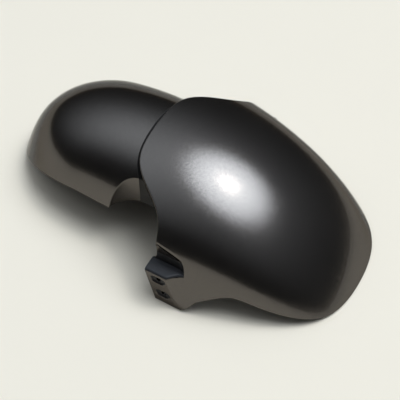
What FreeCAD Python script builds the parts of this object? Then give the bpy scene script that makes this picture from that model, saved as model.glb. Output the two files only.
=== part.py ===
"""Front mudguard: a front shell lapped over a rear shell at the fork waist, with two joining screws.

Millimetres, x forward, y to the left, z up from the floor the mudguard lies on.
The drawing origin is the shut line's level; the finished pieces are moved to the centre of the footprint.
"""
import math
import os

import FreeCAD
import Part
from FreeCAD import Vector

os.makedirs("parts", exist_ok=True)

# moulding walls and fits
wall = 2.8
tab_plate = 5.0
paint_skin = 1.4
lap_gap = 1.45
screw_clearance = 0.05

# front shell: crown arc over the wheel, arched sections, rounded nose
crown_height = 131.5
crown_x = 24.5
crown_radius = 296.0
front_half_width = 122.5
front_width_x = 50.0
front_taper = 0.157
front_camber = 43.9
nose_start = 140.6
nose_reach = 187.5
front_roundness = 2.46
front_flange_slope = 3.0
front_shoulder = 7.2

# rear shell: lower crown under the front one, rounded tail
rear_top = crown_height - wall - lap_gap
rear_crown_radius = 271.0
rear_half_width = 85.0
rear_camber = 33.0
tail_start = -66.0
tail_reach = 98.0
rear_roundness = 1.9
rear_flange_slope = 3.75
rear_shoulder = 11.8

# shut line and fork notch: one S-shaped edge in plan
shut_x = 6.0
notch_depth = 66.0
notch_middle = 75.7
notch_softness = 11.6
lip_start = 66.0
lip_depth = 8.0
lip_band = 4.5

# fork scallop in the rear shell's flank
scallop_x = 22.5
scallop_y = 94.0
scallop_radius = 33.0
tongue_end = 52.0

# lower edges, seen from the side
rear_edge_height = 60.0
rear_edge_turn = -45.0
tail_foot_x = -178.0
skirt_foot_x = 113.0
skirt_bend_x = 126.0
skirt_bend_z = 20.5
skirt_apex_x = 159.5
skirt_apex_z = 41.3
nose_foot_x = 269.5
skirt_foot_round = 6.0
skirt_bend_round = 12.0
skirt_apex_round = 38.0

# fork tabs: flat plates standing along the fork, with a pocket above each
fork_rake = math.radians(13.0)
tab_face = 132.0
tab_foot_x = 76.6
tab_length = 29.0
tab_height = 52.5
tab_corner = 8.0
tab_top_round = 4.0
pocket_back = 113.0
pocket_end_x = 108.0
pocket_round = 9.0

# two bolt holes in each tab, each in a long dish for the bolt's flange
bolt_hole = 6.6
bolt_spacing = 25.0
bolt_low_z = 16.5
dish_length = 18.0
dish_height = 11.0
dish_depth = 2.0

# joining screws under the lap
screw_x = 40.0
screw_y = 30.0
screw_diameter = 4.0
screw_hole = 4.6
screw_boss = 10.0
screw_pad = 12.0
screw_head = 7.8
screw_head_height = 2.6
screw_socket = 2.5
screw_socket_depth = 1.5

# working skins: how far they run past the kept edges, and how their sections crowd the steep sides
reach = 200.0
skin_margin = 14.0
inner_margin = 10.0
skin_span = 1.2
inner_span = 1.27
end_crowding = 0.4
side_crowding = 0.35
skin_rows = 19
skin_columns = 23


def soft_step(value):
    """Zero well below nought, equal to the value well above it."""
    if value > 30.0:
        return value
    return math.log1p(math.exp(value))


def arc_drop(run, radius):
    """How far a circle of this radius has fallen after a level run."""
    return radius - math.sqrt(radius * radius - run * run)


def front_half(x):
    """Half width of the front shell's shoulder at a station."""
    return front_half_width - front_taper * (x - front_width_x)


def rear_half(x):
    """Half width of the rear shell's shoulder."""
    return rear_half_width


def flange_drop(y, half, along, roundness, slope, shoulder):
    """Fall of the steep flange outside the rounded plan outline."""
    ratio = (max(along, 0.0) ** roundness + (abs(y) / half) ** roundness) ** (1.0 / roundness)
    return slope * shoulder * soft_step((ratio - 1.0) * half / shoulder)


def front_height(x, y):
    """Height of the front shell's outer skin."""
    crown = crown_height - arc_drop(x - crown_x, crown_radius)
    camber = front_camber * (y / front_half_width) ** 2
    along = (x - nose_start) / nose_reach
    return crown - camber - flange_drop(
        y, front_half(x), along, front_roundness, front_flange_slope, front_shoulder)


def rear_height(x, y):
    """Height of the rear shell's outer skin."""
    crown = rear_top - arc_drop(x, rear_crown_radius)
    camber = rear_camber * (y / rear_half_width) ** 2
    along = (tail_start - x) / tail_reach
    return crown - camber - flange_drop(
        y, rear_half(x), along, rear_roundness, rear_flange_slope, rear_shoulder)


def inward(height, x, y, depth):
    """The point a given depth under a skin, square to it."""
    step = 0.2
    slope_x = (height(x + step, y) - height(x - step, y)) / (2.0 * step)
    slope_y = (height(x, y + step) - height(x, y - step)) / (2.0 * step)
    normal = Vector(-slope_x, -slope_y, 1.0).normalize()
    return Vector(x, y, height(x, y)) - normal * depth


def under(height, half, x_blunt, x_steep, depth):
    """Everything under a skin, or under the skin's inside at a wall's depth."""
    margin = skin_margin + (inner_margin if depth else 0.0)
    span = inner_span if depth else skin_span
    outward = math.copysign(margin, x_steep - x_blunt)
    length = x_steep - x_blunt + 2.0 * outward
    grid = []
    for i in range(skin_rows):
        s = i / (skin_rows - 1)
        x = x_blunt - outward + length * (s + end_crowding * s * (1.0 - s))
        row = []
        for j in range(skin_columns):
            t = 2.0 * j / (skin_columns - 1) - 1.0
            y = span * half(x) * (t + side_crowding * t * (1.0 - t * t))
            row.append(inward(height, x, y, depth))
        grid.append(row)
    skin = Part.BSplineSurface()
    skin.interpolate(grid)
    return skin.toShape().extrude(Vector(0, 0, -reach))


def under_front(depth):
    """Solid under the front shell's skin."""
    return under(front_height, front_half, shut_x, nose_foot_x, depth)


def under_rear(depth):
    """Solid under the rear shell's skin."""
    return under(rear_height, rear_half, tongue_end, tail_foot_x, depth)


def block(x0, x1, y0, y1, z0, z1):
    """Plain box between two corners."""
    return Part.makeBox(x1 - x0, y1 - y0, z1 - z0, Vector(x0, y0, z0))


def both_sides(shape):
    """A shape with its mirror image on the other side of the wheel."""
    return [shape, shape.mirror(Vector(0, 0, 0), Vector(0, 1, 0))]


def side_prism(corners, y0, y1):
    """Outline drawn from the side, carried across the mudguard."""
    points = [Vector(x, y0, z) for x, z in corners]
    face = Part.Face(Part.makePolygon(points + points[:1]))
    return face.extrude(Vector(0, y1 - y0, 0))


def edges_near(shape, x, z):
    """Edges across the mudguard that stand at one corner of a side outline."""
    found = []
    for edge in shape.Edges:
        middle = edge.CenterOfMass
        if abs(middle.x - x) < 0.01 and abs(middle.z - z) < 0.01:
            found.append(edge)
    return found


def notch_edge(y):
    """Forward position of the front shell's rear edge at a distance from the centre line."""
    return shut_x + notch_depth / (1.0 + math.exp((notch_middle - abs(y)) / notch_softness))


def behind_notch(shift):
    """Everything ahead of the front shell's rear edge, the edge moved forward by a shift."""
    steps = 28
    points = []
    for i in range(steps + 1):
        y = tab_face * 1.2 * (2.0 * i / steps - 1.0)
        points.append(Vector(notch_edge(y) + shift, y, -reach))
    curve = Part.BSplineCurve()
    curve.interpolate(points)
    ahead = Vector(2.0 * reach, 0, 0)
    rim = [curve.toShape(), Part.makeLine(points[-1], points[-1] + ahead)]
    rim.append(Part.makeLine(points[-1] + ahead, points[0] + ahead))
    rim.append(Part.makeLine(points[0] + ahead, points[0]))
    return Part.Face(Part.Wire(rim)).extrude(Vector(0, 0, 2.0 * reach))


def rake_x(z):
    """Forward position of the tab's rear edge at a height."""
    return tab_foot_x - z * math.tan(fork_rake)


def tab_outline(z0, z1, rear, front):
    """Leaning four-sided outline of a tab, grown at its rear and front edges."""
    return [(rake_x(z0) - rear, z0), (rake_x(z0) + tab_length + front, z0),
            (rake_x(z1) + tab_length + front, z1), (rake_x(z1) - rear, z1)]


def tab_body():
    """Outer form of the right tab, its front corner and top edge rounded."""
    solid = side_prism(tab_outline(0.0, tab_height, 0.0, 0.0), -tab_face, -pocket_back + wall)
    front_edge = []
    for edge in solid.Edges:
        middle = edge.CenterOfMass
        leaning = abs(middle.z - tab_height / 2) < 0.01 and abs(middle.y + tab_face) < 0.01
        if leaning and middle.x > rake_x(tab_height / 2) + tab_length / 2:
            front_edge.append(edge)
    solid = solid.makeFillet(tab_corner, front_edge)
    top_edge = []
    for edge in solid.Edges:
        middle = edge.CenterOfMass
        if abs(middle.z - tab_height) < 0.01 and middle.y < -tab_face + tab_corner / 2:
            top_edge.append(edge)
    return solid.makeFillet(tab_top_round, top_edge)


def tab_hollow():
    """Room behind the right tab for the fork's lug, open to the rear and below."""
    outline = tab_outline(-wall, tab_height - wall, tab_length, -wall)
    return side_prism(outline, -tab_face + tab_plate, -pocket_back + 4 * wall)


def behind_tab():
    """Everything behind the right tab's leaning rear edge, over the plate's thickness."""
    corners = [(0.0, -wall), (rake_x(-wall), -wall), (rake_x(tab_height), tab_height), (0.0, tab_height)]
    return side_prism(corners, -tab_face - wall, -tab_face + tab_plate)


def pocket(grow):
    """Pocket above the right tab with a rounded front end, grown for its walls."""
    back = -pocket_back + grow
    solid = block(0.0, pocket_end_x + grow, -tab_face - reach, back, tab_height - grow, crown_height)
    corner = []
    for edge in solid.Edges:
        middle = edge.CenterOfMass
        if abs(middle.x - pocket_end_x - grow) < 0.01 and abs(middle.y - back) < 0.01:
            corner.append(edge)
    return solid.makeFillet(pocket_round + grow, corner)


def bolt_places():
    """Centres of the two bolt holes, along the fork's lean."""
    places = []
    for k in range(2):
        rise = k * bolt_spacing
        x = rake_x(bolt_low_z) + tab_length / 2 - rise * math.sin(fork_rake)
        places.append((x, bolt_low_z + rise * math.cos(fork_rake)))
    return places


def bolt_cuts():
    """Long dishes and round holes through the right tab."""
    cuts = []
    for x, z in bolt_places():
        face = Vector(x, -tab_face - 1.0, z)
        cuts.append(Part.makeCylinder(bolt_hole / 2, tab_plate + 2.0, face, Vector(0, 1, 0)))
        half = (dish_length - dish_height) / 2
        dish = block(x - half, x + half, -tab_face - 1.0, -tab_face + dish_depth,
                     z - dish_height / 2, z + dish_height / 2)
        for end in (-half, half):
            dish = dish.fuse(Part.makeCylinder(
                dish_height / 2, dish_depth + 1.0, Vector(x + end, -tab_face - 1.0, z), Vector(0, 1, 0)))
        cuts.append(dish.removeSplitter())
    return cuts


def front_lower_cut():
    """Everything under the front shell's lower edge."""
    low = -reach
    corners = [(0.0, 0.0), (skirt_foot_x, 0.0), (skirt_bend_x, skirt_bend_z), (skirt_apex_x, skirt_apex_z),
               (nose_foot_x, 0.0), (nose_foot_x + reach, 0.0), (nose_foot_x + reach, low), (0.0, low)]
    solid = side_prism(corners, -reach, reach)
    solid = solid.makeFillet(skirt_apex_round, edges_near(solid, skirt_apex_x, skirt_apex_z))
    solid = solid.makeFillet(skirt_bend_round, edges_near(solid, skirt_bend_x, skirt_bend_z))
    return solid.makeFillet(skirt_foot_round, edges_near(solid, skirt_foot_x, 0.0))


def rear_lower_cut():
    """Everything under the rear shell's lower edge, which arcs down to the tail's foot."""
    run = rear_edge_turn - tail_foot_x
    radius = (run * run + rear_edge_height ** 2) / (2.0 * rear_edge_height)
    turn = Vector(rear_edge_turn, -reach, rear_edge_height)
    halfway = run / 2.0
    middle = Vector(rear_edge_turn - halfway, -reach, rear_edge_height - arc_drop(halfway, radius))
    foot = Vector(tail_foot_x, -reach, 0.0)
    low = -2.0 * reach
    ends = [foot, Vector(low, -reach, 0.0), Vector(low, -reach, low),
            Vector(reach, -reach, low), Vector(reach, -reach, rear_edge_height), turn]
    rim = [Part.Arc(turn, middle, foot).toShape()]
    for start, end in zip(ends, ends[1:]):
        rim.append(Part.makeLine(start, end))
    return Part.Face(Part.Wire(rim)).extrude(Vector(0, 2.0 * reach, 0))


def scallop(grow):
    """Room for the right fork leg: a round scallop carried forward along the tongue."""
    radius = scallop_radius + grow
    leg = Part.makeCylinder(radius, reach, Vector(scallop_x, -scallop_y, 0))
    ahead = block(scallop_x, reach, -scallop_y - reach, -scallop_y + radius, 0, reach)
    return leg.fuse(ahead)


def screw_seat():
    """Level of the pad face that the screw heads pull against."""
    edge = screw_pad / 2
    return inward(rear_height, screw_x + edge, screw_y + edge, wall).z


def screw_tip():
    """Level of the closed end of the screw holes, a skin under the paint."""
    edge = screw_diameter / 2
    return front_height(screw_x, screw_y + edge) - paint_skin


def upright(diameter, x, y, z0, z1):
    """Upright cylinder between two levels."""
    return Part.makeCylinder(diameter / 2, z1 - z0, Vector(x, y, z0))


def build_rear():
    """Rear shell with fork scallops, tongue under the lap and screw pads."""
    solid = under_rear(0.0)
    shell = solid.cut(under_rear(wall))
    lining = [solid.common(s) for s in both_sides(scallop(wall))]
    shell = shell.fuse(lining)
    shell = shell.cut(both_sides(scallop(0.0)))
    pads = [solid.common(p) for p in both_sides(
        upright(screw_pad, screw_x, -screw_y, screw_seat(), crown_height))]
    shell = shell.fuse(pads)
    shell = shell.cut(both_sides(upright(screw_hole, screw_x, -screw_y, 0.0, crown_height)))
    shell = shell.cut(block(tongue_end, 2 * reach, -reach, reach, -reach, reach))
    return shell.cut(rear_lower_cut())


def build_front():
    """Front shell with flange, fork tabs, pockets, rear lip and screw bosses."""
    skin = under_front(0.0)
    room = under_front(wall)
    plates = block(-reach, 2 * reach, -tab_face, tab_face, -reach, reach)
    inside = block(-reach, 2 * reach, tab_plate - tab_face, tab_face - tab_plate, -2 * reach, reach)
    tabs = both_sides(tab_body())
    body = skin.common(plates).fuse(tabs)
    shell = body.cut(room.common(inside))
    shell = shell.cut(both_sides(tab_hollow()))
    lining = [body.common(p) for p in both_sides(pocket(wall))]
    shell = shell.fuse(lining)
    shell = shell.cut(both_sides(pocket(0.0)))

    ahead = behind_notch(0.0)
    tab_zone = side_prism(tab_outline(-wall, tab_height, 0.0, 0.0), -tab_face - wall, wall - pocket_back)
    shell = shell.common(ahead.fuse(both_sides(tab_zone)))
    shell = shell.cut(both_sides(behind_tab()))

    lowered = skin.copy()
    lowered.translate(Vector(0, 0, -lip_depth))
    band = ahead.cut(behind_notch(lip_band))
    lip_side = block(0, reach, wall - pocket_back, -lip_start, 0, reach)
    lips = [skin.cut(lowered).common(band).common(s) for s in both_sides(lip_side)]
    bosses = [skin.common(b) for b in both_sides(
        upright(screw_boss, screw_x, -screw_y, 0.0, crown_height))]
    bosses = [b.cut(under_rear(0.0)) for b in bosses]
    shell = shell.fuse(lips + bosses)
    shell = shell.cut(both_sides(upright(
        screw_diameter + 2 * screw_clearance, screw_x, -screw_y, 0.0, screw_tip())))
    for cut in bolt_cuts():
        shell = shell.cut(both_sides(cut))
    return shell.cut(front_lower_cut())


def build_screw():
    """Thread-forming pan-head screw, driven upwards."""
    seat = screw_seat()
    shank = upright(screw_diameter, screw_x, -screw_y, seat, screw_tip() - 4 * screw_clearance)
    head = upright(screw_head, screw_x, -screw_y, seat - screw_head_height, seat)
    low_rim = [e for e in head.Edges if abs(e.CenterOfMass.z - seat + screw_head_height) < 0.01]
    head = head.makeChamfer(screw_head_height / 3, low_rim)
    corners = []
    for k in range(7):
        angle = math.radians(60.0 * k)
        corners.append(Vector(screw_x + screw_socket / math.sqrt(3) * math.cos(angle),
                              -screw_y + screw_socket / math.sqrt(3) * math.sin(angle),
                              seat - screw_head_height))
    socket = Part.Face(Part.makePolygon(corners)).extrude(Vector(0, 0, screw_socket_depth))
    return head.fuse(shank).removeSplitter().cut(socket)


def save(shape, name, shift):
    """Move a piece to the footprint's centre and write it."""
    placed = shape.copy()
    placed.translate(shift)
    placed.exportStep("parts/" + name + ".step")


front_shell = build_front()
rear_shell = build_rear()
joining_screws = Part.makeCompound(both_sides(build_screw()))

front_box = front_shell.optimalBoundingBox(False)
rear_box = rear_shell.optimalBoundingBox(False)
centre = Vector(-(front_box.XMax + rear_box.XMin) / 2.0, 0, 0)

save(front_shell, "front_shell", centre)
save(rear_shell, "rear_shell", centre)
save(joining_screws, "joining_screws", centre)
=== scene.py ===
"""Front mudguard: a painted front shell lapped over a rear shell, two fork tabs and two joining screws.

Metres, in the frame of the packed model: x forward, y to the left, z up from the floor.
"""
import math

import bmesh
import bpy
import numpy as np
from bpy.props import FloatProperty, FloatVectorProperty, PointerProperty
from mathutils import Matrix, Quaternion, Vector


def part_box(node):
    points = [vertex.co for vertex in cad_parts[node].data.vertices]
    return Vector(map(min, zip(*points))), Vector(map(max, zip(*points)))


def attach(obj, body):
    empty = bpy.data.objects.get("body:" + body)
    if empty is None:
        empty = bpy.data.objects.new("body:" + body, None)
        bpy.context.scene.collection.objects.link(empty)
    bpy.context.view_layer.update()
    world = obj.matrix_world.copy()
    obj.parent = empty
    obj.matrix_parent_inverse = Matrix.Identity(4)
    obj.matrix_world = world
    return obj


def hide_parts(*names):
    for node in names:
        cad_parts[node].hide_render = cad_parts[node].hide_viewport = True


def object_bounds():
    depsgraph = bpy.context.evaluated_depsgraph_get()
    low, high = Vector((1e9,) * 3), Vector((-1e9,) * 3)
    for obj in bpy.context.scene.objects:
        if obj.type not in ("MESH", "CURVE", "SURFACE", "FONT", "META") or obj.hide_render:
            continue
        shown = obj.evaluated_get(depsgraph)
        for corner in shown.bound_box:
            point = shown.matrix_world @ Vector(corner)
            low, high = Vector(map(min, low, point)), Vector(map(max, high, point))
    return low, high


bl_info = {
    "name": "Front mudguard",
    "version": (1, 0, 0),
    "blender": (4, 5, 0),
    "location": "View3D > Sidebar > Mudguard",
    "description": "Builds a painted two-part front mudguard over its packed solids",
    "category": "Object",
}

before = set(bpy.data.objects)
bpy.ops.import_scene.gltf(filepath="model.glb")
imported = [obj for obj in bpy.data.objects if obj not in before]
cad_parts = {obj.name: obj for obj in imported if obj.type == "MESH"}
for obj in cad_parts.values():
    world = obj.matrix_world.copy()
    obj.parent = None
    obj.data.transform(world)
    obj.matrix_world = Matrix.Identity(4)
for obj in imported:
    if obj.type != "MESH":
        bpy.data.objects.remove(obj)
cad_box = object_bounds()
front_low, front_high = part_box("front_shell")
rear_low, rear_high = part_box("rear_shell")
screw_low, screw_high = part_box("joining_screws")

ring_count = 48  # points round a bolt hole or a screw pad
floor_count = 64  # points round the floor
sharp_angle = math.radians(50.0)  # bends steeper than this stay sharp
weld_distance = 1e-7  # points nearer than this are one point


# -------------------- properties


def span(label, words, metres):
    """A size or place in metres."""
    return FloatProperty(name=label, description=words, default=metres, unit="LENGTH", precision=4)


def number(label, words, value):
    """A plain number."""
    return FloatProperty(name=label, description=words, default=value, precision=3)


def colour(label, words, rgb):
    """A linear colour."""
    return FloatVectorProperty(
        name=label, description=words, default=rgb, subtype="COLOR", min=0.0, max=1.0)


def bearing(label, words, degrees):
    """An angle, given in degrees."""
    return FloatProperty(name=label, description=words, default=math.radians(degrees), subtype="ANGLE")


def heading(label, words, way):
    """A direction."""
    return FloatVectorProperty(name=label, description=words, default=way, subtype="DIRECTION")


def spot(label, words, point):
    """A point in metres."""
    return FloatVectorProperty(
        name=label, description=words, default=point, subtype="TRANSLATION", unit="LENGTH")


class FrontShell(bpy.types.PropertyGroup):
    """Sizes of the front shell."""

    crown_height: span("Crown height", "Top of the shell above the floor", front_high.z)
    crown_x: span("Crown place", "Where the crown is highest", -0.021387)
    crown_radius: span("Crown radius", "Arc of the crown over the wheel", 0.296)
    half_width: span("Half width", "Centre line to shoulder where it is widest", 0.1225)
    width_x: span("Width place", "Station of the half width", 0.004113)
    taper: number("Taper", "Loss of half width per length forward", 0.157)
    camber: span("Camber", "Fall of the arch at the half width", 0.0439)
    nose_start: span("Nose start", "Where the nose begins to round", 0.094713)
    nose_reach: span("Nose reach", "Length of the rounded nose", 0.1875)
    roundness: number("Roundness", "Power of the rounded plan outline", 2.46)
    flange_slope: number("Flange slope", "Steepness of the flange", 3.0)
    shoulder: span("Shoulder", "Softness of the bend into the flange", 0.0072)
    wall: span("Wall", "Thickness of the moulding", 0.0028)
    shut_x: span("Shut line", "Rear edge on the centre line", front_low.x - 0.0001)
    notch_depth: span("Notch depth", "How far the fork notch goes forward", 0.066)
    notch_middle: span("Notch middle", "Middle of the S curve, from the centre line", 0.0757)
    notch_softness: span("Notch softness", "Softness of the S curve", 0.0116)
    lip_start: span("Lip start", "Where the turned-down lip begins, from the centre line", 0.066)
    lip_depth: span("Lip depth", "Depth of the turned-down lip", 0.008)
    lip_band: span("Lip band", "Thickness of the turned-down lip", 0.0045)
    lip_rise: span("Lip rise", "Run over which the lip reaches its depth", 0.004)
    lean_rise: span("Lean rise", "Run over which the rear edge turns upright", 0.02)
    shelf_extra: span("Shelf extra", "Extra depth of the edge over a pocket", 0.001)
    pole_back: span("Pole back", "From the nose's start back to the pole of the grid", 0.006)
    edge_round: span("Edge round", "Radius of the moulded edges", 0.0012)
    skirt_foot_x: span("Skirt foot", "Where the lower edge leaves the floor", 0.067113)
    skirt_bend_x: span("Skirt bend place", "Where the lower edge's climb slackens", 0.080113)
    skirt_bend_z: span("Skirt bend height", "Height of the lower edge at the bend", 0.0205)
    skirt_apex_x: span("Skirt apex place", "Where the lower edge is highest", 0.113613)
    skirt_apex_z: span("Skirt apex height", "Height of the lower edge before its round", 0.0413)
    skirt_round: span("Skirt round", "Softness of the lower edge at its apex", 0.0055)
    bend_round: span("Bend round", "Softness of the lower edge at its bend", 0.0006)
    foot_round: span("Foot round", "Softness of the lower edge at its foot", 0.0011)
    heel_round: span("Heel round", "Softness of the lower edge at the tabs' feet", 0.005)
    nose_foot_x: span("Nose foot", "Where the nose stands on the floor", front_high.x - 0.00075)


class RearShell(bpy.types.PropertyGroup):
    """Sizes of the rear shell."""

    crown_height: span("Crown height", "Top of the shell above the floor", 0.12725)
    crown_x: span("Crown place", "Where the crown is highest", -0.045887)
    crown_radius: span("Crown radius", "Arc of the crown over the wheel", 0.271)
    half_width: span("Half width", "Centre line to shoulder", 0.085)
    camber: span("Camber", "Fall of the arch at the half width", 0.033)
    tail_start: span("Tail start", "Where the tail begins to round", -0.111887)
    tail_reach: span("Tail reach", "Length of the rounded tail", 0.098)
    roundness: number("Roundness", "Power of the rounded plan outline", 1.9)
    flange_slope: number("Flange slope", "Steepness of the flange", 3.75)
    shoulder: span("Shoulder", "Softness of the bend into the flange", 0.0118)
    wall: span("Wall", "Thickness of the moulding", 0.0028)
    edge_round: span("Edge round", "Radius of the moulded edges", 0.0008)
    edge_extra: span("Edge extra", "How much thicker than the wall the edge is", 0.0002)
    edge_height: span("Edge height", "Level lower edge at the waist", 0.060)
    edge_turn: span("Edge turn", "Where the lower edge begins to fall", -0.090887)
    tail_foot_x: span("Tail foot", "Where the falling edge reaches the floor", rear_low.x + 0.00048)
    scallop_x: span("Scallop place", "Station of the fork leg", -0.023387)
    scallop_y: span("Scallop offset", "Fork leg to the centre line", 0.094)
    scallop_radius: span("Scallop radius", "Room round the fork leg", 0.033)
    tongue_end: span("Tongue end", "Front end of the tongue under the lap", rear_high.x)
    # the paint stops this far behind the front shell's edge, so the black past it shows as painted shade in
    # the joint
    seam_shade_reach: span("Paint end", "Where the paint ends, behind the front shell's edge", 0.0036)
    pad_radius: span("Pad radius", "Radius of the screw pads under the tongue", 0.006)
    screw_hole: span("Screw hole", "Radius of the screw holes in the pads", 0.0023)
    screw_offset: span("Screw offset", "Screws to the centre line", 0.030)
    pad_face: span("Pad face", "Height of the pads' lower faces", 0.1141)
    pad_rise: span("Pad rise", "Height of the pads, up into the skin", 0.004)
    pad_bevel: span("Pad bevel", "Bevel of the pads' lower edges", 0.0004)


class ForkTabs(bpy.types.PropertyGroup):
    """Sizes of the fork tabs and of the pockets above them."""

    rake: bearing("Rake", "Lean of the tabs", 13.0)
    face: span("Face", "Tab faces to the centre line", front_high.y)
    foot_x: span("Foot", "Rear edge of a tab at the floor", 0.030713)
    length: span("Length", "Rear edge to front edge", 0.029)
    height: span("Height", "Roof of a tab above the floor", 0.0525)
    plate: span("Plate", "Thickness of a tab", 0.005)
    corner: span("Corner", "Round of the front corner", 0.008)
    proud: span("Proud", "How far the faces stand out from the flange", 0.00015)
    sweep: span("Sweep", "Run of the face before it falls to the flange", 0.002)
    fall: number("Fall", "Slope of the face's fall to the flange", 1.2)
    sink: span("Sink", "How far the face lies under the flange past its end", 0.0002)
    overrun: span("Overrun", "How far a tab runs on past the pocket's end", 0.0026)
    sliver: span("Sliver", "Least round, and least gap between two faces", 0.0004)
    bury: span("Bury", "How far under the dome's skin the pocket's wall ends", 0.0012)
    # start of the painted shade on the pocket's wall, above the roof
    pocket_shade_start: span("Black start", "Where the wall turns black, above the roof", 0.0005)
    # upper edge of the painted shade on the pocket's wall
    ceiling: span("Ceiling", "Height of the black pocket's upper edge", 0.0665)
    top_round: span("Top round", "Round of the roof's outer edge", 0.004)
    blend: span("Blend", "Softness of the joint between tab and flange", 0.004)
    pocket_back: span("Pocket back", "Pocket wall to the centre line", 0.113)
    pocket_end: span("Pocket end", "Front end of the pocket", 0.062113)
    pocket_round: span("Pocket round", "Round of the pocket's front end", 0.009)
    pocket_fillet: span("Pocket fillet", "Round between roof and pocket wall", 0.0015)
    inner_fillet: span("Inner fillet", "The same round on the inner wall", 0.0006)
    hole: span("Hole", "Radius of the bolt holes", 0.0033)
    spacing: span("Spacing", "Distance between the bolt holes", 0.025)
    low_hole: span("Low hole", "Height of the lower bolt hole", 0.0165)
    dish_length: span("Dish length", "Length of a hole's dish", 0.018)
    dish_height: span("Dish height", "Height of a hole's dish", 0.011)
    dish_depth: span("Dish depth", "Depth of a hole's dish", 0.002)
    dish_wall: span("Dish wall", "Width of a dish's sloping wall", 0.0022)


class Finishes(bpy.types.PropertyGroup):
    """Colours and grain of the finishes."""

    paint: colour("Paint", "Metal flake of the gunmetal paint", (0.110, 0.099, 0.089))
    paint_shade: colour("Paint shade", "Flakes that lie turned away", (0.086, 0.077, 0.070))
    paint_roughness: number("Paint roughness", "Spread of the flake highlight", 0.20)
    paint_haze: number("Paint haze", "How far the roughness wanders", 0.10)
    paint_metal: number("Paint metal", "Share of metal in the paint", 0.92)
    clear_coat: number("Clear coat", "Weight of the clear coat", 0.5)
    bare_roughness: number("Bare roughness", "Extra roughness where there is no paint", 0.3)
    flake: span("Flake", "Size of the flake grain", 0.0006)
    flake_tilt: number("Flake tilt", "How far the flakes lean", 0.05)
    edge_tint: colour("Edge tint", "Tint of the flakes at a grazing angle", (0.20, 0.17, 0.13))
    # softness of the edge of the painted shade line at the joint
    seam_shade_edge: span("Paint line", "Width over which the paint ends", 0.0006)
    # also the colour of the painted shade in the joint, on the tab pockets' walls and on the dishes' floors
    plastic: colour("Plastic", "Bare moulding inside", (0.010, 0.010, 0.011))
    steel: colour("Steel", "Plated steel of the screws", (0.55, 0.55, 0.56))


class Stage(bpy.types.PropertyGroup):
    """Floor, lights and camera."""

    floor: colour("Floor", "Plain pale floor", (0.82, 0.735, 0.60))
    floor_radius: span("Floor radius", "Size of the floor", 30.0)
    sky: colour("Sky", "Tint of the soft light", (0.80, 0.89, 1.0))
    sky_spread: number("Sky spread", "How fast the wide soft light falls off", 4.4)
    sky_level: number("Sky level", "Strength of the wide soft light", 0.45)
    halo_inner: bearing("Halo inner", "Angle where the halo begins to fade", 7.0)
    halo_outer: bearing("Halo outer", "Angle where the halo ends", 26.0)
    halo_level: number("Halo level", "Strength of the halo", 8.0)
    fill_spread: number("Fill spread", "How fast the second soft light falls off", 6.5)
    fill_level: number("Fill level", "Strength of the second soft light", 1.25)
    fill_direction: heading("Fill direction", "Toward the second soft light", (-0.462, 0.082, 0.883))
    room: colour("Room", "Light from everywhere else", (0.012, 0.012, 0.012))
    key_power: number("Key power", "Strength of the key light in watts", 4.6)
    key_size: span("Key size", "Diameter of the key light", 0.27)
    key_distance: span("Key distance", "Distance of the key light", 2.0)
    key_direction: heading("Key direction", "From the highlight to the key light", (0.264, 0.255, 0.930))
    highlight: spot("Highlight", "Point that mirrors the key light", (0.0657, -0.0267, 0.1163))
    azimuth: bearing("Azimuth", "Camera's turn round the mudguard", 29.88)
    elevation: bearing("Elevation", "Camera's height angle", 54.56)
    roll: bearing("Roll", "Camera's lean", -0.22)
    target: spot("Target", "Point in the middle of the picture", (0.02208, -0.0140, 0.0406))
    distance: span("Distance", "Camera to target", 1.25)
    lens: number("Lens", "Focal length in millimetres on a 36 mm sensor", 97.18)


def given(group):
    """The property group of this name, on the scene."""
    return getattr(bpy.context.scene, "mudguard_" + group)


# -------------------- shader nodes


class Socket:
    """An output socket or a number that adds Math nodes when it is reckoned with."""

    def __init__(self, tree, link):
        self.tree = tree
        self.link = link

    def math(self, operation, *values):
        """One Math node over these values."""
        node = self.tree.nodes.new("ShaderNodeMath")
        node.operation = operation
        for socket, value in zip(node.inputs, values):
            plug(self.tree, socket, value)
        return Socket(self.tree, node.outputs[0])

    def __add__(self, other):
        return self.math("ADD", self, other)

    def __radd__(self, other):
        return self.math("ADD", other, self)

    def __sub__(self, other):
        return self.math("SUBTRACT", self, other)

    def __rsub__(self, other):
        return self.math("SUBTRACT", other, self)

    def __mul__(self, other):
        return self.math("MULTIPLY", self, other)

    def __rmul__(self, other):
        return self.math("MULTIPLY", other, self)

    def __pow__(self, other):
        return self.math("POWER", self, other)


def plug(tree, socket, value):
    """Link a Socket to an input, or set the input to a plain value."""
    if isinstance(value, Socket):
        tree.links.new(value.link, socket)
    else:
        socket.default_value = value


class Recipe:
    """A node tree and the one method that adds nodes to it."""

    def __init__(self, owner):
        owner.use_nodes = True
        self.tree = owner.node_tree

    def add(self, kind, settings, inputs, output=0):
        """A node of this type with its settings made first and its sockets filled; returns one output."""
        node = self.tree.nodes.new(kind)
        for key, value in settings.items():
            setattr(node, key, value)
        for key, value in inputs.items():
            plug(self.tree, node.inputs[key], value)
        return Socket(self.tree, node.outputs[output])

    def vector(self, operation, *values):
        """One Vector Math node over these vectors."""
        return self.add("ShaderNodeVectorMath", {"operation": operation}, dict(enumerate(values)))

    def noise(self, place, scale, detail):
        """Smooth noise at a scale per metre."""
        return self.add("ShaderNodeTexNoise", {}, {"Vector": place, "Scale": scale, "Detail": detail})

    def blend(self, factor, one, other):
        """A colour between two; 6, 7 and output 2 are the Mix node's colour sockets."""
        return self.add("ShaderNodeMix", {"data_type": "RGBA"}, {"Factor": factor, 6: one, 7: other}, 2)

    def finish(self, **inputs):
        """Fill the Principled shader's sockets, underscores standing for spaces."""
        shader = self.tree.nodes["Principled BSDF"]
        for key, value in inputs.items():
            plug(self.tree, shader.inputs[key.replace("_", " ")], value)


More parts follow.
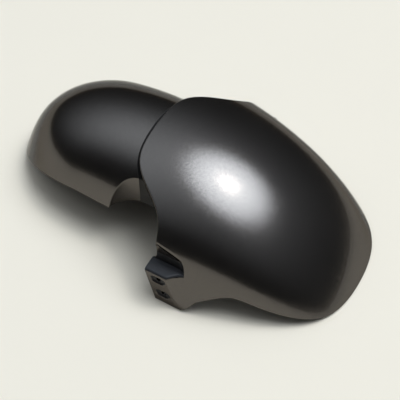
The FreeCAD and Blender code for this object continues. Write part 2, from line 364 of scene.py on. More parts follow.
def rgba(tone, level=1.0):
    """A colour property at this level, with its alpha."""
    return (level * tone[0], level * tone[1], level * tone[2], 1.0)


def new_finish(name):
    """A material of this name, the recipe of its nodes and the object's coordinates."""
    material = bpy.data.materials.new(name)
    recipe = Recipe(material)
    return material, recipe, recipe.add("ShaderNodeTexCoord", {}, {}, "Object")


def gunmetal_paint():
    """Dark metal flake under a clear coat, none where the shells lap: each flake has its tone and lean."""
    look = given("finishes")
    material, recipe, place = new_finish("gunmetal_paint")
    grain = {"Vector": place, "Scale": 1.0 / look.flake}
    flake = recipe.add("ShaderNodeTexVoronoi", {"feature": "F1"}, grain, "Color")
    tone = recipe.add("ShaderNodeSeparateColor", {}, {0: flake})
    body = recipe.blend(tone, rgba(look.paint_shade), rgba(look.paint))
    lean = recipe.vector("SUBTRACT", flake, (0.5, 0.5, 0.5))
    lean = recipe.vector("MULTIPLY", lean, (look.flake_tilt,) * 3)
    surface = recipe.add("ShaderNodeNewGeometry", {}, {}, "Normal")
    lean = recipe.vector("NORMALIZE", recipe.vector("ADD", surface, lean))
    haze = recipe.noise(place, scale=14.0, detail=3.0)
    # painted shade: the rear shell turns to black plastic a few millimetres behind the front shell's edge,
    # for the shade in the joint; under the lap it is unpainted plastic
    lap = recipe.add("ShaderNodeAttribute", {"attribute_name": "lap"}, {}, "Fac")
    bare_and_shade = lap.math("MINIMUM", lap.math("MAXIMUM", lap * (1.0 / look.seam_shade_edge), 0.0), 1.0)
    recipe.finish(
        Base_Color=recipe.blend(bare_and_shade, body, rgba(look.plastic)),
        Metallic=look.paint_metal * (1.0 - bare_and_shade),
        Roughness=look.paint_roughness + look.paint_haze * (haze - 0.5) + look.bare_roughness * bare_and_shade,
        Normal=lean,
        Coat_Weight=look.clear_coat * (1.0 - bare_and_shade),
        Coat_Roughness=0.03,
        Coat_IOR=1.45,
        Specular_Tint=rgba(look.edge_tint),
    )
    return material


def bare_plastic_and_shade():
    """Black moulded plastic with a fine sparked grain and a few flow marks."""
    look = given("finishes")
    material, recipe, place = new_finish("bare_plastic_and_shade")
    grain = recipe.noise(place, scale=1600.0, detail=2.0)
    flow = recipe.noise(place, scale=22.0, detail=4.0)
    body = recipe.blend(flow, rgba(look.plastic), rgba(look.plastic, 1.8))
    relief = recipe.add("ShaderNodeBump", {}, {"Strength": 0.25, "Distance": 0.0002, "Height": grain})
    recipe.finish(Base_Color=body, Roughness=0.42 + 0.2 * flow, Normal=relief, Specular_IOR_Level=0.3)
    return material


def plated_steel():
    """Plated screw steel with fine turning marks round the axis and a little tarnish."""
    look = given("finishes")
    material, recipe, place = new_finish("plated_steel")
    stretched = recipe.vector("MULTIPLY", place, (300.0, 300.0, 4000.0))
    marks = recipe.noise(stretched, scale=1.0, detail=2.0)
    tarnish = recipe.noise(place, scale=400.0, detail=3.0)
    body = recipe.blend(tarnish, rgba(look.steel), rgba(look.steel, 0.55))
    relief = recipe.add("ShaderNodeBump", {}, {"Strength": 0.15, "Distance": 0.0001, "Height": marks})
    recipe.finish(Base_Color=body, Metallic=1.0, Roughness=0.28 + 0.2 * tarnish, Normal=relief)
    return material


def floor_paper():
    """Plain pale studio floor with the faintest mottle."""
    stage = given("stage")
    material, recipe, place = new_finish("floor_paper")
    mottle = recipe.noise(place, scale=9.0, detail=2.0)
    body = recipe.blend(mottle, rgba(stage.floor), rgba(stage.floor, 0.985))
    recipe.finish(Base_Color=body, Roughness=0.9)
    return material


def shared(name, make):
    """The material of this name, made once."""
    return bpy.data.materials.get(name) or make()


# -------------------- surfaces


def soft_step(value):
    """Zero well below nought, equal to the value well above it: log(1 + e to the value)."""
    return np.logaddexp(0.0, value)


def smooth_rise(value):
    """From 0 to 1 as the value goes from 0 to 1, level at both ends: 3 t squared less 2 t cubed."""
    t = np.clip(value, 0.0, 1.0)
    return t * t * (3.0 - 2.0 * t)


def soft_lower(one, other, softness):
    """The lower of two values, the change from one to the other rounded off."""
    return -softness * np.logaddexp(-one / softness, -other / softness)


def arc_drop(run, radius):
    """How far a circle of this radius has fallen after a level run."""
    return radius - np.sqrt(radius * radius - run * run)


def skin_height(shell, x, y, half, along):
    """Crown arc, less a parabola across, less a flange's fall outside a rounded plan outline.

    The fall is a slope times the soft step of the distance beyond the outline, whose half width and
    share of its rounded end are given.
    """
    crown = shell.crown_height - arc_drop(x - shell.crown_x, shell.crown_radius)
    power = shell.roundness
    ratio = (np.maximum(along, 0.0) ** power + (np.abs(y) / half) ** power) ** (1.0 / power)
    fall = shell.flange_slope * shell.shoulder * soft_step((ratio - 1.0) * half / shell.shoulder)
    return crown - shell.camber * (y / shell.half_width) ** 2 - fall


def front_height(x, y):
    """Front skin, tapered forward and rounded at the nose."""
    shell = given("front")
    half = shell.half_width - shell.taper * (x - shell.width_x)
    return skin_height(shell, x, y, half, (x - shell.nose_start) / shell.nose_reach)


def rear_height(x, y):
    """Rear skin, rounded at the tail."""
    shell = given("rear")
    return skin_height(shell, x, y, shell.half_width, (shell.tail_start - x) / shell.tail_reach)


def notch_edge(y):
    """Front shell's rear edge: an S curve from the shut line forward into the fork notch."""
    shell = given("front")
    short = (shell.notch_middle - np.abs(y)) / shell.notch_softness
    return shell.shut_x + shell.notch_depth / (1.0 + np.exp(short))


def front_lower_edge(x):
    """Level at the foot, then the lowest of a steep, a slack and a falling line, all bends softened."""
    shell = given("front")
    steep = (x - shell.skirt_foot_x) * shell.skirt_bend_z / (shell.skirt_bend_x - shell.skirt_foot_x)
    climb = (shell.skirt_apex_z - shell.skirt_bend_z) / (shell.skirt_apex_x - shell.skirt_bend_x)
    slack = shell.skirt_bend_z + (x - shell.skirt_bend_x) * climb
    falling = (shell.nose_foot_x - x) * shell.skirt_apex_z / (shell.nose_foot_x - shell.skirt_apex_x)
    steep = shell.heel_round * soft_step(steep / shell.heel_round)
    falling = shell.foot_round * soft_step(falling / shell.foot_round)
    return soft_lower(soft_lower(slack, falling, shell.skirt_round), steep, shell.bend_round)


def rear_lower_edge(x):
    """Level at the waist, then an arc down to the tail's foot, never under the floor."""
    shell = given("rear")
    run = shell.edge_turn - shell.tail_foot_x
    radius = (run * run + shell.edge_height ** 2) / (2.0 * shell.edge_height)
    fallen = np.clip(shell.edge_turn - x, 0.0, run)
    return shell.edge_height - arc_drop(fallen, radius)


def bisect(function, low, high):
    """Where a falling function of arrays crosses nought between two values, by halving the brackets."""
    halvings = 44
    for _ in range(halvings):
        middle = (low + high) / 2.0
        above = function(middle) > 0.0
        low = np.where(above, middle, low)
        high = np.where(above, high, middle)
    return (low + high) / 2.0


def rim_points(height, lower, pole, start, stop, count):
    """Plan points where the skin meets its lower edge, on rays from the pole between two angles."""
    angle = np.linspace(start, stop, count)
    ray = np.stack([np.cos(angle), np.sin(angle)], axis=-1)

    def clearance(run):
        x = pole[0] + run * ray[:, 0]
        return height(x, run * ray[:, 1]) - np.maximum(lower(x), 0.0)

    nearest, farthest = 0.01, 0.20
    run = bisect(clearance, nearest, farthest)
    return np.asarray(pole) + run[:, None] * ray


def skin_points(height, x, y, depth, lean):
    """Points a depth under the skin, along its normal or, where lean is 1, straight down."""
    step = 0.0001
    slope_x = (height(x + step, y) - height(x - step, y)) / (2.0 * step)
    slope_y = (height(x, y + step) - height(x, y - step)) / (2.0 * step)
    normal = np.stack([-slope_x, -slope_y, np.ones_like(x)], axis=-1)
    normal /= np.linalg.norm(normal, axis=-1, keepdims=True)
    way = normal * (1.0 - lean[..., None]) + np.array([0.0, 0.0, 1.0]) * lean[..., None]
    way /= np.linalg.norm(way, axis=-1, keepdims=True)
    return np.stack([x, y, height(x, y)], axis=-1) - way * depth[..., None]


def carried_shell(shell, height, pole, rim, lip, lean, band, limit):
    """A closed moulding in two parameters, the ray to each rim point and the row along it.

    The rows run from the pole over the outer skin to the rim, round an edge of the lip's depth,
    and back to the pole a wall's depth under the skin. Nothing goes below the floor, nor further out than
    the limit less its own depth in the wall. Returns the rows, the pole's points on both skins and the
    number of painted rows.
    """
    outer_rows, inner_rows, round_rows = 66, 40, 5
    crowding = 1.6
    probe = 0.0002
    ray = rim - np.asarray(pole)
    reach = np.linalg.norm(ray, axis=1)
    unit = ray / reach[:, None]
    back = rim - unit * probe
    slope = (height(rim[:, 0], rim[:, 1]) - height(back[:, 0], back[:, 1])) / probe
    level = (1.0 - lean) / np.sqrt(1.0 + slope * slope) + lean

    turn = np.linspace(0.0, math.pi / 2.0, round_rows)[:, None]
    inset = shell.edge_round * (1.0 - np.sin(turn))
    sink = shell.edge_round * (1.0 - np.cos(turn))
    edge_inset = np.vstack([inset, inset[::-1], band - inset]) + 0.0 * reach
    edge_depth = np.vstack([sink + 0.0 * reach, lip - sink[::-1], lip - sink])

    share = 1.0 - (1.0 - np.linspace(0.0, 1.0, outer_rows + 1)[1:-1, None]) ** crowding
    outer = (reach - shell.edge_round * level) * share
    share = 1.0 - (1.0 - np.linspace(0.0, 1.0, inner_rows + 1)[1:, None]) ** crowding
    inner = ((reach - band * level) * share)[::-1]
    run = np.vstack([outer, reach - edge_inset * level, inner])
    depth = np.vstack([0.0 * outer, edge_depth, 0.0 * inner + shell.wall])
    slant = np.vstack([0.0 * outer, 0.0 * edge_depth + lean, 0.0 * inner])

    x = pole[0] + run * unit[:, 0]
    y = pole[1] + run * unit[:, 1]
    rows = skin_points(height, x, y, depth, slant)
    room = limit - np.minimum(depth, shell.wall)
    rows[..., 1] = np.clip(rows[..., 1], -room, room)
    rows[..., 2] = np.maximum(rows[..., 2], 0.0)
    centre = np.asarray(pole, float)[None, :]
    zero = np.zeros(1)
    tops = skin_points(height, centre[:, 0], centre[:, 1], zero, zero)
    unders = skin_points(height, centre[:, 0], centre[:, 1], zero + shell.wall, zero)
    return rows, tops, unders, len(outer) + 2 * len(turn)


def shell_piece(name, rows, tops, unders, painted):
    """Mesh of a carried shell: quads between rows, a fan at each pole, paint outside and plastic inside."""
    count, rays = rows.shape[:2]
    index = np.arange(count * rays).reshape(count, rays)
    beside = np.roll(index, -1, axis=1)
    quads = np.stack([index[:-1], index[1:], beside[1:], beside[:-1]], axis=-1).reshape(-1, 4)
    top = np.full(rays, count * rays)
    fan_top = np.stack([top, index[0], beside[0]], axis=-1)
    fan_under = np.stack([top + 1, beside[-1], index[-1]], axis=-1)
    points = np.vstack([rows.reshape(-1, 3), tops, unders])
    inside = np.repeat(np.arange(count - 1) >= painted, rays)
    slots = np.concatenate([inside, np.zeros(rays, bool), np.ones(rays, bool)])
    return make_piece(name, points, quads.tolist() + fan_top.tolist() + fan_under.tolist(), slots)


def weld(mesh):
    """Join points that coincide, so that no face is left without area."""
    welded = bmesh.new()
    welded.from_mesh(mesh)
    bmesh.ops.remove_doubles(welded, verts=welded.verts, dist=weld_distance)
    welded.to_mesh(mesh)
    welded.free()


def make_piece(name, points, faces, slots):
    """A smooth mesh object at the origin, painted or bare by face."""
    mesh = bpy.data.meshes.new(name)
    mesh.from_pydata(points.tolist(), [], faces)
    mesh.materials.append(shared("gunmetal_paint", gunmetal_paint))
    mesh.materials.append(shared("bare_plastic_and_shade", bare_plastic_and_shade))
    mesh.polygons.foreach_set("material_index", np.asarray(slots, np.int32))
    weld(mesh)
    mesh.shade_smooth()
    mesh.set_sharp_from_angle(angle=sharp_angle)
    mesh.update()
    piece = bpy.data.objects.new(name, mesh)
    bpy.context.scene.collection.objects.link(piece)
    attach(piece, "root")
    return piece


def mark_lap_shade(piece):
    """Store how far each point of the rear shell lies past the line where its paint ends, at the lap."""
    points = np.empty(3 * len(piece.data.vertices), np.float32)
    piece.data.vertices.foreach_get("co", points)
    x, y = points.reshape(-1, 3)[:, :2].T
    past = x - notch_edge(y) + given("rear").seam_shade_reach
    piece.data.attributes.new("lap", "FLOAT", "POINT").data.foreach_set("value", past.astype(np.float32))


def full_turn(count):
    """Angles of points spaced evenly round a circle."""
    return np.linspace(0.0, 2.0 * math.pi, count, endpoint=False)


def screw_pads(name):
    """Pads for the joining screws: a bevelled ring profile turned about each screw, its top in the skin."""
    shell = given("rear")
    x = (screw_low.x + screw_high.x) / 2.0
    face, hole, rim = shell.pad_face, shell.screw_hole, shell.pad_radius
    top = face + shell.pad_rise
    turn = full_turn(ring_count)
    radius = np.array([hole, hole, rim - shell.pad_bevel, rim, rim])[:, None]
    height = np.array([top, face, face, face + shell.pad_bevel, top])[:, None]
    count = len(radius) * ring_count
    points, faces = [], []
    for order, side in enumerate((-1.0, 1.0)):
        y = side * shell.screw_offset + radius * np.sin(turn)
        ring = np.stack([x + radius * np.cos(turn), y, height + 0.0 * turn], axis=-1)
        index = np.arange(count).reshape(-1, ring_count) + order * count
        beside, below = np.roll(index, -1, axis=1), np.roll(index, -1, axis=0)
        faces.append(np.stack([index, beside, np.roll(below, -1, axis=1), below], axis=-1).reshape(-1, 4))
        points.append(ring.reshape(-1, 3))
    faces = np.vstack(faces)
    return make_piece(name, np.vstack(points), faces.tolist(), np.ones(len(faces), bool))


def whole_loop(half):
    """A closed loop from its left half, which starts and ends on the centre line."""
    right = half[-2:0:-1] * np.array([1.0, -1.0])
    return np.vstack([half, right])


def mirrored(half):
    """Values of a whole loop from those of its left half."""
    return np.concatenate([half, half[-2:0:-1]])


def front_rim():
    """Pole and outline of the front shell in plan, from the nose round, with its edge's depth and lean."""
    shell = given("front")
    tabs = given("tabs")
    pole = (shell.nose_start - shell.pole_back, 0.0)
    plain = shell.wall + shell.edge_round
    skirt_count, step_count, bend_count, shelf_count, notch_count = 170, 10, 14, 24, 90
    nearest, farthest = 0.05, 0.20
    flank = bisect(
        lambda y: front_height(tabs.pocket_end, y) - front_lower_edge(tabs.pocket_end), nearest, farthest)
    corner = np.array([tabs.pocket_end, flank])
    stop = math.atan2(corner[1] - pole[1], corner[0] - pole[0])
    skirt = rim_points(front_height, front_lower_edge, pole, 0.0, stop, skirt_count)
    turn = np.linspace(0.0, math.pi / 2.0, bend_count)
    middle = np.array([tabs.pocket_end - tabs.pocket_round, tabs.pocket_back + tabs.pocket_round])
    bend = middle + tabs.pocket_round * np.stack([np.cos(turn), -np.sin(turn)], axis=-1)
    step = np.linspace(corner, bend[0], step_count)[1:-1]
    shelf_end = np.array([notch_edge(tabs.pocket_back), tabs.pocket_back])
    shelf = np.linspace(bend[-1], shelf_end, shelf_count)[1:-1]
    across = np.linspace(tabs.pocket_back, 0.0, notch_count)
    notch = np.stack([notch_edge(across), across], axis=-1)
    risen = smooth_rise((across - shell.lip_start) / shell.lip_rise + 0.5)
    lipped = plain + (shell.lip_depth - plain) * risen
    half = np.vstack([skirt, step, bend, shelf, notch])
    lip = np.concatenate([
        np.full(len(skirt) + len(step) + len(bend), plain),
        np.full(len(shelf), plain + shell.shelf_extra),
        lipped])
    upright = np.concatenate([
        np.zeros(len(skirt) + len(step)), np.ones(len(bend) + len(shelf)),
        smooth_rise(across / shell.lean_rise)])
    return pole, whole_loop(half), mirrored(lip), mirrored(upright)


def rear_rim():
    """Pole and outline of the rear shell in plan, from the tongue round, with its edge's depth and lean."""
    shell = given("rear")
    pole = (shell.edge_turn, 0.0)
    plain = shell.wall + shell.edge_round
    tongue_count, side_count, leg_count, skirt_count = 40, 20, 46, 150
    farthest_turn = 1.55
    inner = shell.scallop_y - shell.scallop_radius
    tongue = np.linspace([shell.tongue_end, 0.0], [shell.tongue_end, inner], tongue_count)
    side = np.linspace([shell.tongue_end, inner], [shell.scallop_x, inner], side_count)[1:-1]

    def leg(turn):
        x = shell.scallop_x - shell.scallop_radius * np.sin(turn)
        return x, shell.scallop_y - shell.scallop_radius * np.cos(turn)

    end = bisect(lambda turn: rear_height(*leg(turn)) - shell.edge_height, 0.0, farthest_turn)
    scallop = np.stack(leg(np.linspace(0.0, end, leg_count)), axis=-1)
    stop = math.atan2(scallop[-1, 1] - pole[1], scallop[-1, 0] - pole[0])
    skirt = rim_points(rear_height, rear_lower_edge, pole, stop, math.pi, skirt_count)[1:]
    half = np.vstack([tongue, side, scallop, skirt])
    hung = np.vstack([side, scallop])
    drop = rear_height(hung[:, 0], hung[:, 1]) - shell.edge_height
    lip = np.concatenate([np.full(len(tongue), plain), np.maximum(drop, plain), np.full(len(skirt), plain)])
    upright = np.concatenate([np.zeros(len(tongue)), np.ones(len(hung)), np.zeros(len(skirt))])
    return pole, whole_loop(half), mirrored(lip), mirrored(upright)


# -------------------- fork tabs


def tab_rear_edge(z):
    """Leaning rear edge of a tab."""
    tabs = given("tabs")
    return tabs.foot_x - z * math.tan(tabs.rake)


def bolt_places():
    """Centres of the two bolt holes, along the fork's lean."""
    tabs = given("tabs")
    rise = np.array([0.0, tabs.spacing])
    x = tab_rear_edge(tabs.low_hole) + tabs.length / 2.0 - rise * math.sin(tabs.rake)
    return np.stack([x, tabs.low_hole + rise * math.cos(tabs.rake)], axis=-1)


def tab_width(x, z):
    """Distance of the tab's face from the centre line: the softened greater of a plate with a rounded
    front corner and the flange, never beyond the plate's face."""
    tabs = given("tabs")
    past = x - tab_rear_edge(z) - tabs.length - tabs.sweep + tabs.corner
    lean = math.atan(tabs.fall)
    turn = np.clip(past / (tabs.corner * math.sin(lean)), 0.0, 1.0) * math.sin(lean)
    plate = tabs.face - tabs.corner * (1.0 - np.sqrt(1.0 - turn * turn))
    plate = plate - tabs.fall * np.maximum(past - tabs.corner * math.sin(lean), 0.0)
    nearest, farthest = 0.06, 0.16
    flange = bisect(lambda y: front_height(x, y) - z, nearest, farthest)
    gap = plate - flange
    proud = (gap + np.sqrt(gap * gap + tabs.blend ** 2)) / 2.0
    under = smooth_rise(-gap / (2.0 * tabs.blend))
    return np.minimum(flange + proud * (1.0 - under) - tabs.sink * under, tabs.face)


def dish_depth(x, z):
    """Depth of the long dishes round the bolt holes: full inside a stadium, nought outside it."""
    tabs = given("tabs")
    depth = 0.0 * x
    for place in bolt_places():
        beyond = np.maximum(np.abs(x - place[0]) - (tabs.dish_length - tabs.dish_height) / 2.0, 0.0)
        inside = tabs.dish_height / 2.0 - np.hypot(beyond, z - place[1])
        depth = depth + tabs.dish_depth * smooth_rise(inside / tabs.dish_wall + 0.5)
    return depth


def pocket_back(x):
    """Distance of the pocket's wall from the centre line, swinging out in a quarter round in front."""
    tabs = given("tabs")
    into = np.clip((x - tabs.pocket_end + tabs.pocket_round) / tabs.pocket_round, 0.0, 1.0)
    return tabs.pocket_back + tabs.pocket_round * (1.0 - np.sqrt(1.0 - into * into))


def tab_walls():
    """Outer and inner wall of the left tab, each a profile carried forward from the rear edge.

    The profile climbs the plate, turns over the roof's round, crosses the roof, turns up through a
    fillet and climbs the pocket's wall to the dome. The inner wall follows it at the plate's depth.
    At the first stations the two walls are eased together, which rounds the rear edge.
    """
    tabs = given("tabs")
    shell = given("front")
    end = tabs.pocket_end + tabs.overrun
    first_stations, first_ease = [0.0, 0.004, 0.012], [0.16, 0.05, 0.0]
    other_stations = np.linspace(0.022, 1.0, 92)
    along = np.concatenate([first_stations, other_stations])[None, :]
    ease = np.concatenate([first_ease, 0.0 * other_stations])[None, :, None]
    climb_rows, turn_rows, roof_rows, wall_rows = 86, 9, 10, 41
    widest_round = 0.45
    fillet_swing, wall_swing = 0.6, 1.6

    def station(rear):
        return rear + along * (end - rear)

    roof_x = station(tab_rear_edge(tabs.height))
    roof_width = tab_width(roof_x, np.full_like(roof_x, tabs.height))
    wall_x = station(notch_edge(tabs.pocket_back) + tabs.sliver)
    back = np.minimum(pocket_back(roof_x), roof_width - tabs.sliver)
    wall_back = np.minimum(pocket_back(wall_x), roof_width - tabs.sliver)
    top = np.maximum(front_height(wall_x, wall_back) - tabs.bury, tabs.height + tabs.sliver)
    room = roof_width - back
    bend = np.minimum(tabs.top_round, widest_round * room)
    fillet = np.minimum(tabs.pocket_fillet, widest_round * np.minimum(room, top - tabs.height))
    low = np.maximum(front_lower_edge(station(tab_rear_edge(0.0))), 0.0)

    climb = np.linspace(0.0, 1.0, climb_rows)[:, None]
    turn = np.linspace(0.0, math.pi / 2.0, turn_rows)[1:, None]
    cross = np.linspace(0.0, 1.0, roof_rows)[1:, None]
    rise = np.linspace(0.0, 1.0, wall_rows)[1:, None]
    swing = np.linspace(0.0, fillet_swing, len(turn))[:, None]
    swing = smooth_rise(np.concatenate([swing, fillet_swing + wall_swing * rise]))

    def profile(inset_side, inset_roof, bend, fillet, dished):
        ceiling = tabs.height - inset_roof
        z_climb = low + climb * (ceiling - bend - low)
        z_turn = ceiling - bend * (1.0 - np.sin(turn))
        z = np.vstack([z_climb, z_turn])
        x = station(tab_rear_edge(z))
        width = tab_width(x, z) - inset_side
        if dished:
            width = width - dish_depth(x, z)
        width[len(climb):] -= bend * (1.0 - np.cos(turn))
        inner_end = back - inset_roof + fillet
        start = np.maximum(width[-1:], inner_end)
        roof = start + (inner_end - start) * cross
        curl = back - inset_roof + fillet * (1.0 - np.sin(turn))
        curl_z = ceiling + fillet * (1.0 - np.cos(turn))
        wall_z = ceiling + fillet + (top - ceiling - fillet) * rise
        tail = np.vstack([curl_z, wall_z])
        drift = roof_x + (wall_x - roof_x) * swing
        drift_back = np.vstack([curl, 0.0 * wall_z + wall_back - inset_roof])
        x = np.vstack([x, 0.0 * roof + roof_x, drift])
        y = np.vstack([width, roof, drift_back])
        z = np.vstack([z, 0.0 * roof + ceiling, tail])
        return np.stack([x, y, z], axis=-1)

    outer = profile(0.0, 0.0, bend, fillet, True)
    inner_bend = np.maximum(bend - shell.wall, tabs.sliver)
    inner = profile(tabs.plate, shell.wall, inner_bend, tabs.inner_fillet + 0.0 * fillet, False)
    return outer + (inner - outer) * ease, inner + (outer - inner) * ease


def tab_pad_and_shade(x, y, z):
    """Where a tab is left black: the roof's pad, the pocket under its ceiling and the dishes."""
    tabs = given("tabs")
    pad_share, dish_shade_share = 0.5, 0.4
    reach = (tabs.face - tabs.pocket_back) / 2.0
    beyond = np.maximum(x - tabs.pocket_end + reach, 0.0)
    pad = (np.hypot(beyond, y - tabs.face + reach) < reach) & (z > tabs.height - pad_share * tabs.top_round)
    # painted shade: the pocket's wall black from just above the roof to the ceiling, for the shade in the
    # recess
    pocket = (z > tabs.height + tabs.pocket_shade_start) & (z < tabs.ceiling)
    # painted shade: the dishes' floors black, for the shade in the holes
    dish = (dish_depth(x, z) > dish_shade_share * tabs.dish_depth) & (z < tabs.height - tabs.top_round)
    return pad & (z < tabs.ceiling) | pocket | dish


def tab_piece(name, side):
    """Mesh of one tab: both walls, closed along their edges and at both ends, then bored for its bolts."""
    outer, inner = tab_walls()
    turn = np.array([1.0, side, 1.0])
    count, stations = outer.shape[:2]
    ring = np.concatenate([outer, inner[::-1]]) * turn
    index = np.arange(2 * count * stations).reshape(2 * count, stations)
    above = np.roll(index, -1, axis=0)
    around = np.stack([index[:, :-1], index[:, 1:], above[:, 1:], above[:, :-1]], axis=-1).reshape(-1, 4)
    facing = index[::-1]
    ends = []
    for column, way in ((0, 1), (-1, -1)):
        strip = np.stack([
            index[:count - 1, column], index[1:count, column],
            facing[1:count, column], facing[:count - 1, column]], axis=-1)
        ends.append(strip[:, ::way])
    faces = np.vstack([around] + ends)
    if side > 0.0:
        faces = faces[:, ::-1]
    inside = np.repeat(np.arange(2 * count) >= count, stations - 1)
    # black plastic inside and on the roof's pad; painted shade on the pocket's wall and on the dishes'
    # floors
    bare_and_shade = inside | tab_pad_and_shade(*np.abs(ring.reshape(-1, 3)[around].mean(axis=1)).T)
    slots = np.concatenate([bare_and_shade, np.zeros(2 * (count - 1), bool)])
    piece = make_piece(name, ring.reshape(-1, 3), faces.tolist(), slots)
    bore_holes(piece, side)
    return piece


def bore_holes(piece, side):
    """Cut the round bolt holes through a tab's plate with an exact Boolean, applied to the mesh."""
    tabs = given("tabs")
    angle = full_turn(ring_count)
    for place in bolt_places():
        rings = []
        for depth in (tabs.face - 2.0 * tabs.plate, tabs.face + tabs.plate):
            x = place[0] + tabs.hole * np.cos(angle)
            z = place[1] + tabs.hole * np.sin(angle)
            rings.append(np.stack([x, np.full_like(x, side * depth), z], axis=-1))
        index = np.arange(2 * ring_count).reshape(2, ring_count)
        beside = np.roll(index, -1, axis=1)
        walls = np.stack([index[0], index[1], beside[1], beside[0]], axis=-1)
        faces = walls.tolist() + [index[0].tolist(), index[1, ::-1].tolist()]
        if side < 0.0:
            faces = [face[::-1] for face in faces]
        mesh = bpy.data.meshes.new("bore")
        mesh.from_pydata(np.vstack(rings).tolist(), [], faces)
        bore = bpy.data.objects.new("bore", mesh)
        bpy.context.scene.collection.objects.link(bore)
        cut = piece.modifiers.new("bore", "BOOLEAN")
        cut.operation = "DIFFERENCE"
        cut.solver = "EXACT"
        cut.object = bore
        bored = piece.evaluated_get(bpy.context.evaluated_depsgraph_get())
        plain = piece.data
        piece.data = bpy.data.meshes.new_from_object(bored)
        piece.modifiers.clear()
        bpy.data.meshes.remove(plain)
        bpy.data.objects.remove(bore)
        bpy.data.meshes.remove(mesh)
    piece.data.set_sharp_from_angle(angle=sharp_angle)


# -------------------- operators


class MUDGUARD_OT_front_shell(bpy.types.Operator):
    """Build the front shell's dome, flange and turned-down lip"""

    bl_idname = "mudguard.front_shell"
    bl_label = "Front shell"

    def execute(self, context):
        shell, tabs = given("front"), given("tabs")
        limit = tabs.face - tabs.proud
        rows = carried_shell(shell, front_height, *front_rim(), band=shell.lip_band, limit=limit)
        piece = shell_piece("front_dome", *rows)
        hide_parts("front_shell")
        return {"FINISHED"}


class MUDGUARD_OT_fork_tabs(bpy.types.Operator):
    """Build the two fork tabs with their pockets and bolt holes"""

    bl_idname = "mudguard.fork_tabs"
    bl_label = "Fork tabs"

    def execute(self, context):
        tab_piece("right_fork_tab", -1.0)
        tab_piece("left_fork_tab", 1.0)
        return {"FINISHED"}


class MUDGUARD_OT_rear_shell(bpy.types.Operator):
    """Build the rear shell with its fork scallops and tongue"""

    bl_idname = "mudguard.rear_shell"
    bl_label = "Rear shell"

    def execute(self, context):
        shell = given("rear")
        band = shell.wall + shell.edge_extra
        rows = carried_shell(shell, rear_height, *rear_rim(), band=band, limit=cad_box[1].y)
        piece = shell_piece("rear_dome", *rows)
        # painted shade line on the rear shell just behind the front shell's edge
        mark_lap_shade(piece)
        screw_pads("screw_pads")
        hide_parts("rear_shell")
        return {"FINISHED"}


class MUDGUARD_OT_screws(bpy.types.Operator):
    """Give the joining screws their plated steel"""

    bl_idname = "mudguard.screws"
    bl_label = "Joining screws"

    def execute(self, context):
        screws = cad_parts["joining_screws"]
        screws.data.materials.clear()
        screws.data.materials.append(shared("plated_steel", plated_steel))
        return {"FINISHED"}


class MUDGUARD_OT_stage(bpy.types.Operator):
    """Set the floor, the lights and the camera"""

    bl_idname = "mudguard.stage"
    bl_label = "Stage"

    def execute(self, context):
        scene = context.scene
        stage = given("stage")
        scene.view_settings.view_transform = "Standard"
        lay_floor(stage)
        light_sky(scene, stage)
        hang_key(scene, stage)
        place_camera(scene, stage)
        return {"FINISHED"}


def lay_floor(stage):
    """A round plain floor: one polygon on a circle."""
    angle = full_turn(floor_count)
    ring = stage.floor_radius * np.stack([np.cos(angle), np.sin(angle), 0.0 * angle], axis=-1)
    mesh = bpy.data.meshes.new("floor")
    mesh.from_pydata(ring.tolist(), [], [list(range(floor_count))])
    mesh.materials.append(shared("floor_paper", floor_paper))
    floor = bpy.data.objects.new("floor", mesh)
    bpy.context.scene.collection.objects.link(floor)


def light_sky(scene, stage):
    """Soft light: powers of the cosine of the angle to key and fill, and a soft disc round the key."""
    world = bpy.data.worlds.new("studio")
    scene.world = world
    recipe = Recipe(world)
    way = recipe.add("ShaderNodeTexCoord", {}, {}, "Generated")

    def near(direction):
        toward = tuple(Vector(direction).normalized())
        cosine = recipe.add(
            "ShaderNodeVectorMath", {"operation": "DOT_PRODUCT"}, {0: way, 1: toward}, "Value")
        return cosine.math("MAXIMUM", cosine, 0.0)

    key = near(stage.key_direction)
    halo = recipe.add(
        "ShaderNodeMapRange", {"interpolation_type": "SMOOTHSTEP"},
        {"Value": key, "From Min": math.cos(stage.halo_outer), "From Max": math.cos(stage.halo_inner)})
    level = stage.sky_level * key ** stage.sky_spread + stage.halo_level * halo
    level = level + stage.fill_level * near(stage.fill_direction) ** stage.fill_spread
    glow = recipe.vector("MULTIPLY", level, tuple(stage.sky))
    background = recipe.tree.nodes["Background"]
    plug(recipe.tree, background.inputs["Color"], recipe.vector("ADD", glow, tuple(stage.room)))
    background.inputs["Strength"].default_value = 1.0


def hang_key(scene, stage):
    """A soft round lamp where the front shell's highlight mirrors it."""
    data = bpy.data.lights.new("key", "AREA")
    data.shape = "DISK"
    data.size = stage.key_size
    data.energy = stage.key_power
    key = bpy.data.objects.new("key", data)
    scene.collection.objects.link(key)
    way = Vector(stage.key_direction).normalized()
    key.location = Vector(stage.highlight) + way * stage.key_distance
    key.rotation_mode = "QUATERNION"
    key.rotation_quaternion = way.to_track_quat("Z", "Y")


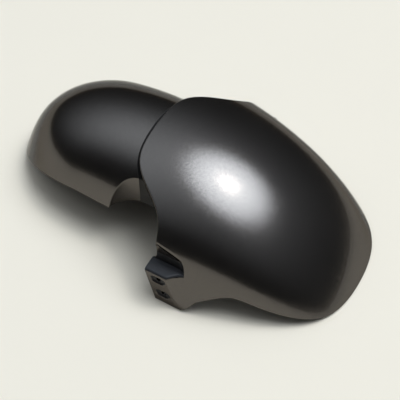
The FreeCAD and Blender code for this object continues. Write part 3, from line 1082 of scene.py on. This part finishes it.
def place_camera(scene, stage):
    """The camera on a sphere round its target, turned to it and leant by its roll."""
    data = bpy.data.cameras.new("camera")
    data.lens = stage.lens
    data.sensor_width = 36.0
    data.clip_start = 0.05
    camera = bpy.data.objects.new("camera", data)
    scene.collection.objects.link(camera)
    level = math.cos(stage.elevation)
    back = Vector((
        math.sin(stage.azimuth) * level, -math.cos(stage.azimuth) * level, math.sin(stage.elevation)))
    camera.location = Vector(stage.target) + back * stage.distance
    camera.rotation_mode = "QUATERNION"
    lean = Quaternion((0.0, 0.0, 1.0), stage.roll)
    camera.rotation_quaternion = (-back).to_track_quat("-Z", "Y") @ lean
    scene.camera = camera


class MUDGUARD_PT_panel(bpy.types.Panel):
    """Sidebar panel with the mudguard's sizes and steps"""

    bl_idname = "MUDGUARD_PT_panel"
    bl_label = "Front mudguard"
    bl_space_type = "VIEW_3D"
    bl_region_type = "UI"
    bl_category = "Mudguard"

    def draw(self, context):
        for name, group in groups.items():
            column = self.layout.column(heading=group.__doc__)
            for key in group.__annotations__:
                column.prop(getattr(context.scene, name), key)
        for step in steps:
            self.layout.operator(step.bl_idname)


# -------------------- registration

groups = {
    "mudguard_front": FrontShell,
    "mudguard_rear": RearShell,
    "mudguard_tabs": ForkTabs,
    "mudguard_finishes": Finishes,
    "mudguard_stage": Stage,
}
steps = (
    MUDGUARD_OT_front_shell,
    MUDGUARD_OT_fork_tabs,
    MUDGUARD_OT_rear_shell,
    MUDGUARD_OT_screws,
    MUDGUARD_OT_stage,
)


def register():
    """Register the classes and hang the property groups on the scene."""
    for name, group in groups.items():
        bpy.utils.register_class(group)
        setattr(bpy.types.Scene, name, PointerProperty(type=group))
    for step in steps:
        bpy.utils.register_class(step)
    bpy.utils.register_class(MUDGUARD_PT_panel)


def unregister():
    """Undo register."""
    bpy.utils.unregister_class(MUDGUARD_PT_panel)
    for step in reversed(steps):
        bpy.utils.unregister_class(step)
    for name, group in groups.items():
        delattr(bpy.types.Scene, name)
        bpy.utils.unregister_class(group)


def main():
    """Build every piece and the stage, then note the solids' box and the dressed object's box."""
    register()
    bpy.ops.mudguard.front_shell()
    bpy.ops.mudguard.fork_tabs()
    bpy.ops.mudguard.rear_shell()
    bpy.ops.mudguard.screws()
    bpy.ops.mudguard.stage()


if __name__ == "__main__":
    main()
